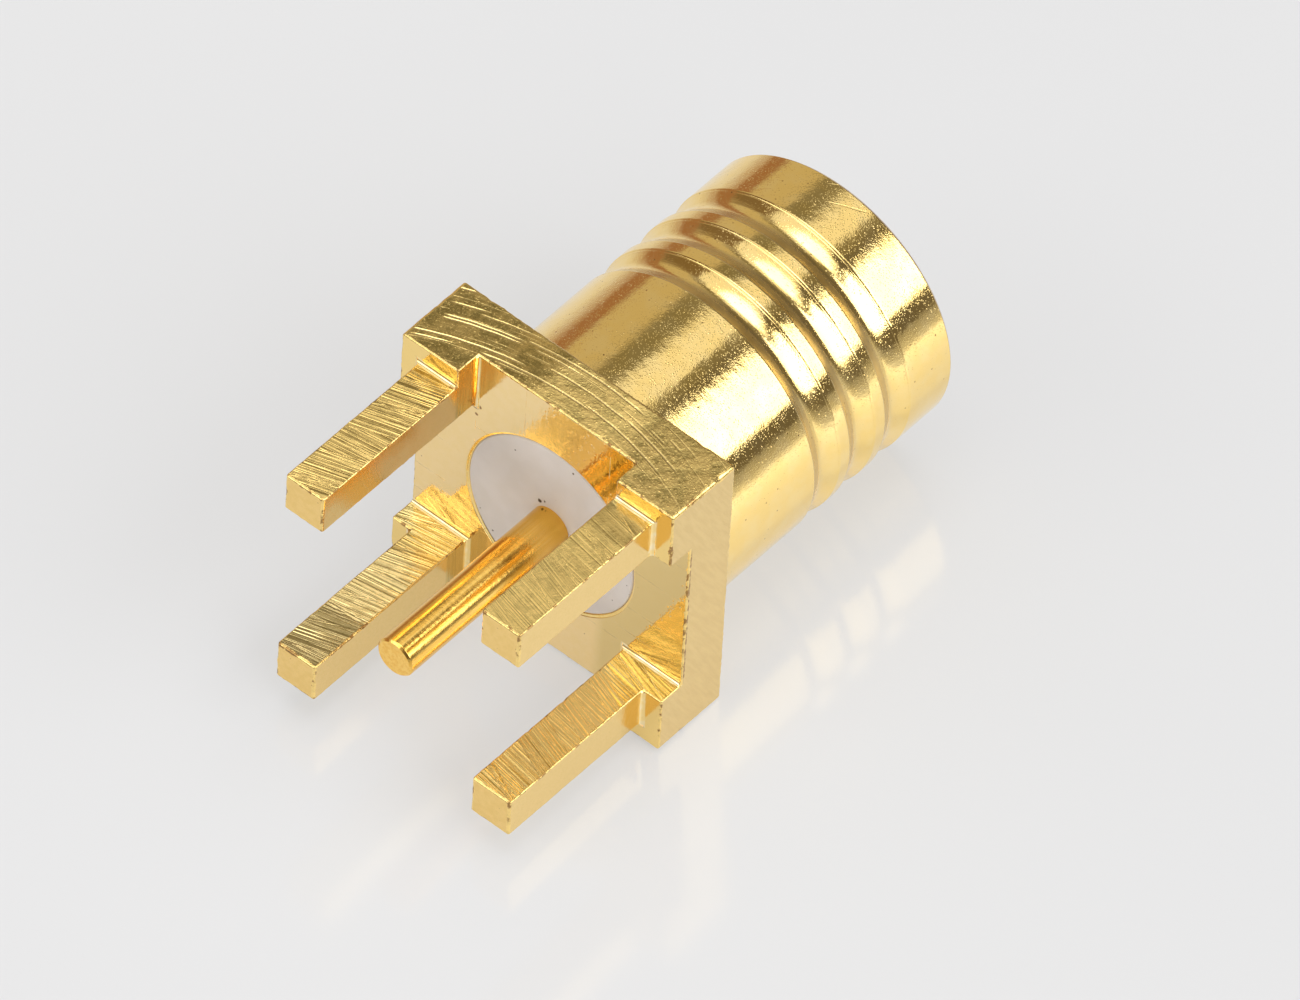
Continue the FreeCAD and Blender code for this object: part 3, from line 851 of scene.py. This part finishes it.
def gold_root():
    m, n = material("gold_root")
    p = n.place()
    h = n.mul(n.noise(p, 12.0, 2.0, 0.5), 0.0014)
    rough = n.span(n.noise(p, 5.0, 2.0, 0.5), 0.35, 0.7, 0.08, 0.15)
    colour = n.mix(n.span(n.noise(p, 4.0, 2.0, 0.5), 0.4, 0.7), GOLD_PALE, (1.0, 0.84, 0.52, 1.0))
    gold(n, h, rough, colour)
    return m


def gold_pin():
    m, n = material("gold_pin")
    p = n.place()
    x, y, z = n.xyz(p)
    strokes = n.noise(n.join(n.mul(x, 14.0), n.mul(y, 0.4), n.mul(z, 14.0)), 1.0, 3.0, 0.65)
    peel = n.noise(p, 12.0, 2.0, 0.6)
    plain = n.span(y, 0.0, 0.35)
    h = n.add(n.mul(n.mul(strokes, n.lerp(plain, 1.0, 0.35)), 0.0034), n.mul(peel, 0.0030))
    rough = n.span(n.noise(p, 2.0, 2.0, 0.5), 0.3, 0.7, 0.15, 0.22)
    colour = n.mix(n.span(strokes, 0.35, 0.65), (0.93, 0.53, 0.10, 1.0), (1.0, 0.65, 0.17, 1.0))
    colour = n.mix(plain, colour, (0.87, 0.51, 0.09, 1.0))
    dot = n.span(n.cells(p, 3.6), 0.025, 0.055)
    colour = n.mix(dot, BROWN, colour)
    gold(n, h, rough, colour)
    return m


def white_insulator():
    m, n = material("white_fluoropolymer")
    p = n.place()
    x, y, z = n.xyz(p)
    r = n.math("SQRT", n.add(n.mul(x, x), n.mul(z, z)))
    facing = n.noise(n.join(n.mul(r, 12.0), 0.0, 0.0), 1.0, 2.0, 0.6)
    soft = n.noise(p, 2.0, 2.0, 0.5)
    fine = n.noise(p, 18.0, 2.0, 0.6)
    h = n.add(n.mul(facing, 0.0005), n.mul(soft, 0.0022))
    h = n.add(h, n.mul(fine, 0.0007))
    colour = n.mix(n.span(soft, 0.3, 0.7), (0.80, 0.755, 0.735, 1.0), (0.84, 0.795, 0.78, 1.0))
    # dirt specks on the rear face
    ragged = n.mul(n.sub(n.noise(p, 14.0, 2.0, 0.6), 0.5), 0.06)
    dirt = None
    for cx, cz, size in SPECKS:
        f = n.vec("DISTANCE", n.join(x, 0.0, z), (cx, 0.0, cz))
        f = n.span(n.add(f, ragged), size * 0.55, size * 1.05, 1.0, 0.0)
        dirt = f if dirt is None else n.math("MAXIMUM", dirt, f)
    tiny = n.span(n.cells(p, 1.7), 0.014, 0.026, 1.0, 0.0)
    dirt = n.math("MAXIMUM", dirt, n.mul(tiny, 0.6))
    colour = n.mix(dirt, colour, (0.07, 0.04, 0.025, 1.0))
    rough = n.span(soft, 0.3, 0.7, 0.34, 0.46)
    n.out(
        Base_Color=colour,
        Roughness=rough,
        IOR=1.35,
        Subsurface_Weight=0.15,
        Subsurface_Radius=(1.0, 0.9, 0.8),
        Subsurface_Scale=0.0004,
        Normal=n.bump(h),
    )
    return m


MATERIAL = {
    "barrel": gold_barrel(),
    "flange_top": gold_flange("gold_flange_top", "x"),
    "flange_side": gold_flange("gold_flange_side", "z"),
    "channel": gold_channel(),
    "leg_top": gold_leg("gold_leg_top", "x", 1.0),
    "leg_side": gold_leg("gold_leg_side", "z", 0.10),
    "leg_tip": None,
    "edge": gold_edge(),
    "root": gold_root(),
    "bore": None,
}
MATERIAL["leg_tip"] = gold_tip()
MATERIAL["bore"] = MATERIAL["barrel"]

# ------------------------------------------------------------- connector body
body = build_block()
body = combine(body, paint_turned(turned("turned_barrel", barrel_profile()), "barrel"), "UNION")
body = combine(body, paint_turned(turned("bores", bore_profile()), "bore"), "DIFFERENCE")
shade(body)
to_metres(body, "body_shell")
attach(body, "root")
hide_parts("connector_body")

# ------------------------------------------------------------- spring collet
section = rounded(
    [
        (1.48, 2.4),
        (2.55, 2.4),
        (2.55, 4.1, 0.03),
        (2.25, 4.19, 0.05),
        (2.25, 8.41, 0.03),
        (2.16, 8.5, 0.02),
        (1.954, 8.5, 0.02),
        (1.81, 8.356, 0.10),
        (1.81, 8.14, 0.10),
        (1.9, 8.032, 0.10),
        (1.9, 4.7, 0.06),
        (1.48, 4.7, 0.02),
    ]
)
collet = turned("collet", section)
collet.data.materials.append(MATERIAL["barrel"])
cutters = bmesh.new()
for k in range(6):
    turn = Matrix.Rotation(-math.radians(60 * k), 4, "Y")
    made = bmesh.ops.create_cube(cutters, size=1.0)["verts"]
    for v in made:
        v.co = turn @ Vector((1.9 + v.co.x * 1.6, (4.95 + 9.0) / 2 + v.co.y * (9.0 - 4.95), v.co.z * 0.32))
mesh = bpy.data.meshes.new("slots")
cutters.to_mesh(mesh)
cutters.free()
slots = bpy.data.objects.new("slots", mesh)
slots.data.materials.append(MATERIAL["barrel"])
scene.collection.objects.link(slots)
combine(collet, slots, "DIFFERENCE")
shade(collet)
to_metres(collet, "collet_fingers")
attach(collet, "root")
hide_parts("spring_collet")

# ------------------------------------------------------------------ insulator
section = rounded(
    [
        (0.28, 0.61),
        (2.095, 0.61, 0.01),
        (2.12, 0.635, 0.01),
        (2.12, 2.4),
        (1.48, 2.4),
        (1.48, 6.85, 0.02),
        (1.43, 6.9, 0.02),
        (0.5, 6.9),
        (0.5, 3.3),
        (0.57, 3.0),
        (0.5, 3.0),
        (0.5, 1.6),
        (0.28, 1.6),
    ]
)
disc = turned("insulator_turned", section)
disc.data.materials.append(white_insulator())
shade(disc)
to_metres(disc, "insulator_disc")
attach(disc, "root")
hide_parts("insulator")

# -------------------------------------------------------------- centre contact
section = rounded(
    [
        (0.0, -4.05),
        (0.40, -4.05, 0.02),
        (0.45, -4.00, 0.03),
        (0.45, 0.61),
        (0.28, 0.61),
        (0.28, 1.6),
        (0.5, 1.6),
        (0.5, 3.0),
        (0.57, 3.0),
        (0.5, 3.3),
        (0.5, 7.12, 0.04),
        (0.42, 7.2, 0.03),
        (0.33, 7.2, 0.02),
        (0.25, 7.12, 0.03),
        (0.25, 5.3),
        (0.0, 5.16),
    ]
)
pin = turned("contact_turned", section, 256)
PIN_GOLD = gold_pin()
pin.data.materials.append(PIN_GOLD)
cutter = bmesh.new()
made = bmesh.ops.create_cube(cutter, size=1.0)["verts"]
for v in made:
    v.co = Vector((v.co.x * 1.6, (5.7 + 7.6) / 2 + v.co.y * (7.6 - 5.7), v.co.z * 0.12))
mesh = bpy.data.meshes.new("split")
cutter.to_mesh(mesh)
cutter.free()
split = bpy.data.objects.new("split", mesh)
split.data.materials.append(PIN_GOLD)
scene.collection.objects.link(split)
combine(pin, split, "DIFFERENCE")
shade(pin)
to_metres(pin, "contact_pin")
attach(pin, "root")
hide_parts("center_contact")


# ----------------------------------------------------------------------- floor
def floor():
    """A large disc under the part, along the plane that it rests on."""
    tilt = 0.05063
    size = 2.2
    rings, around = [0.0, 0.012, 0.03, 0.08, 0.25, 0.8, size], 96
    verts, faces = [], []
    for i, r in enumerate(rings):
        if i == 0:
            verts.append((0, 0, 0))
            continue
        for k in range(around):
            t = 2 * math.pi * k / around
            verts.append((r * math.cos(t), r * math.sin(t), 0))
    for k in range(around):
        faces.append((0, 1 + k, 1 + (k + 1) % around))
    for i in range(1, len(rings) - 1):
        a, b = 1 + (i - 1) * around, 1 + i * around
        for k in range(around):
            n = (k + 1) % around
            faces.append((a + k, b + k, b + n, a + n))
    verts = [(x, y, (-3.5 + tilt * (y / MM - THICK)) * MM) for x, y, z in verts]
    obj = mesh_object("floor", verts, faces)
    m, n = material("pale_floor")
    cloud = n.noise(n.place(), 0.05, 1.0, 0.5)
    n.out(
        Base_Color=n.mix(n.span(cloud, 0.3, 0.7), (0.252, 0.256, 0.263, 1.0), (0.262, 0.266, 0.273, 1.0)),
        Roughness=0.6,
        Specular_IOR_Level=0.0,
        Coat_Weight=1.0,
        Coat_Roughness=n.span(cloud, 0.3, 0.7, 0.10, 0.12),
        Coat_IOR=1.44,
        Emission_Color=(1.0, 1.0, 1.01, 1.0),
        Emission_Strength=0.478,
    )
    obj.data.materials.append(m)
    return obj


floor()


# ---------------------------------------------------------------- studio light
def studio():
    """A soft studio round the part: one large softbox on the right, an overhead one, a third in front on the left."""
    world = bpy.data.worlds.new("studio")
    world.use_nodes = True
    scene.world = world
    n = Nodes(world.node_tree)
    t = n.new("ShaderNodeTexCoord")
    x, y, z = n.xyz(n.vec("NORMALIZE", t.outputs["Generated"]))
    el = n.mul(n.math("ARCSINE", z), 180 / math.pi)
    az = n.mul(n.math("ARCTAN2", x, y), 180 / math.pi)

    def turned_by(centre):
        """Angle from a bearing, -180 to 180."""
        a = n.sub(az, centre)
        return n.math("WRAP", a, 180.0, -180.0)

    def box(centre, half, low, high, soft_side, soft_low, soft_high):
        a = n.math("ABSOLUTE", turned_by(centre))
        m = n.span(a, half - soft_side, half + soft_side, 1.0, 0.0)
        m = n.mul(m, n.span(el, low - soft_low, low + soft_low))
        return n.mul(m, n.span(el, high - soft_high, high + soft_high, 1.0, 0.0))

    def grey(v, warm=0.0):
        return (v, v * (1 - 0.16 * warm), v * (1 - 0.36 * warm), 1.0)

    colour = grey(0.36, 0.6)
    # the far side, darker
    colour = n.mix(box(15, 36, -50, 57, 14, 4, 2.5), colour, grey(0.15, 0.8))
    # left wall: a brown low strip, tan above it, and dark further to the front
    colour = n.mix(box(-66, 26, 14, 42, 8, 3, 1.5), colour, (0.56, 0.49, 0.36, 1.0))
    colour = n.mix(box(-112, 24, 12, 49.5, 8, 7, 1.5), colour, (0.21, 0.15, 0.09, 1.0))
    colour = n.mix(box(-86, 42, -12, 14, 8, 4, 2.5), colour, (0.34, 0.185, 0.115, 1.0))
    # a gap below the overhead light
    colour = n.mix(box(-14, 50, 42, 60, 4, 1.5, 3), colour, (0.235, 0.21, 0.15, 1.0))
    # overhead: its lower edge runs higher towards the right and lower in front
    behind = n.math("COSINE", n.mul(az, math.pi / 180))
    edge = n.add(n.span(az, 6.0, 20.0, 54.6, 59.6), n.span(behind, -0.35, 0.20, -6.0, 0.0))
    edge = n.add(edge, n.span(behind, -0.85, -0.55, 7.0, 0.0))
    colour = n.mix(n.span(n.sub(el, edge), -1.2, 1.2), colour, (0.98, 0.96, 0.91, 1.0))
    # the brightest part, straight above
    colour = n.mix(n.span(el, 66.0, 73.0), colour, grey(3.2, 0.05))
    # a dark surround about the right softbox
    colour = n.mix(box(95, 68, -2, 62.3, 6, 2, 1.0), colour, grey(0.15, 0.7))
    colour = n.mix(box(128, 30, 50, 64.6, 10, 2, 1.0), colour, grey(0.15, 0.7))
    strength = n.span(az, 40.0, 95.0, 3.1, 3.8)
    left = n.add(n.mul(n.sub(49.5, el), 0.40), 38.5)
    far = n.add(n.mul(n.sub(el, 35.0), 0.42), 124.0)
    softbox = n.mul(n.span(n.sub(az, left), -1.5, 1.5), n.span(n.sub(az, far), -1.5, 1.5, 1.0, 0.0))
    softbox = n.mul(softbox, n.mul(n.span(el, 13.0, 16.0), n.span(el, 55.3, 57.3, 1.0, 0.0)))
    colour = n.mix(softbox, colour, n.join(strength, strength, strength))
    colour = n.mix(box(-150, 30, 18, 44, 7, 3, 2.5), colour, grey(2.3))
    background = n.new("ShaderNodeBackground")
    n.put(background.inputs["Color"], colour)
    out = n.new("ShaderNodeOutputWorld")
    n.tree.links.new(background.outputs[0], out.inputs[0])


studio()

# ---------------------------------------------------------------------- camera
camera = bpy.data.objects.new("camera", bpy.data.cameras.new("camera"))
scene.collection.objects.link(camera)
right = Vector((0.75532, 0.65406, 0.04122))
down = Vector((0.51874, -0.55825, -0.64751))
ahead = Vector((-0.40050, 0.51046, -0.76094))
camera.matrix_world = Matrix.Translation((0.2445505, -0.3080017, 0.4627329)) @ Matrix((right, -down, -ahead)).transposed().to_4x4()
camera.data.lens = 860.73
camera.data.sensor_width = 36.0
camera.data.clip_start = 0.02
camera.data.clip_end = 50.0
scene.camera = camera
scene.view_settings.view_transform = "Standard"
scene.view_settings.look = "None"
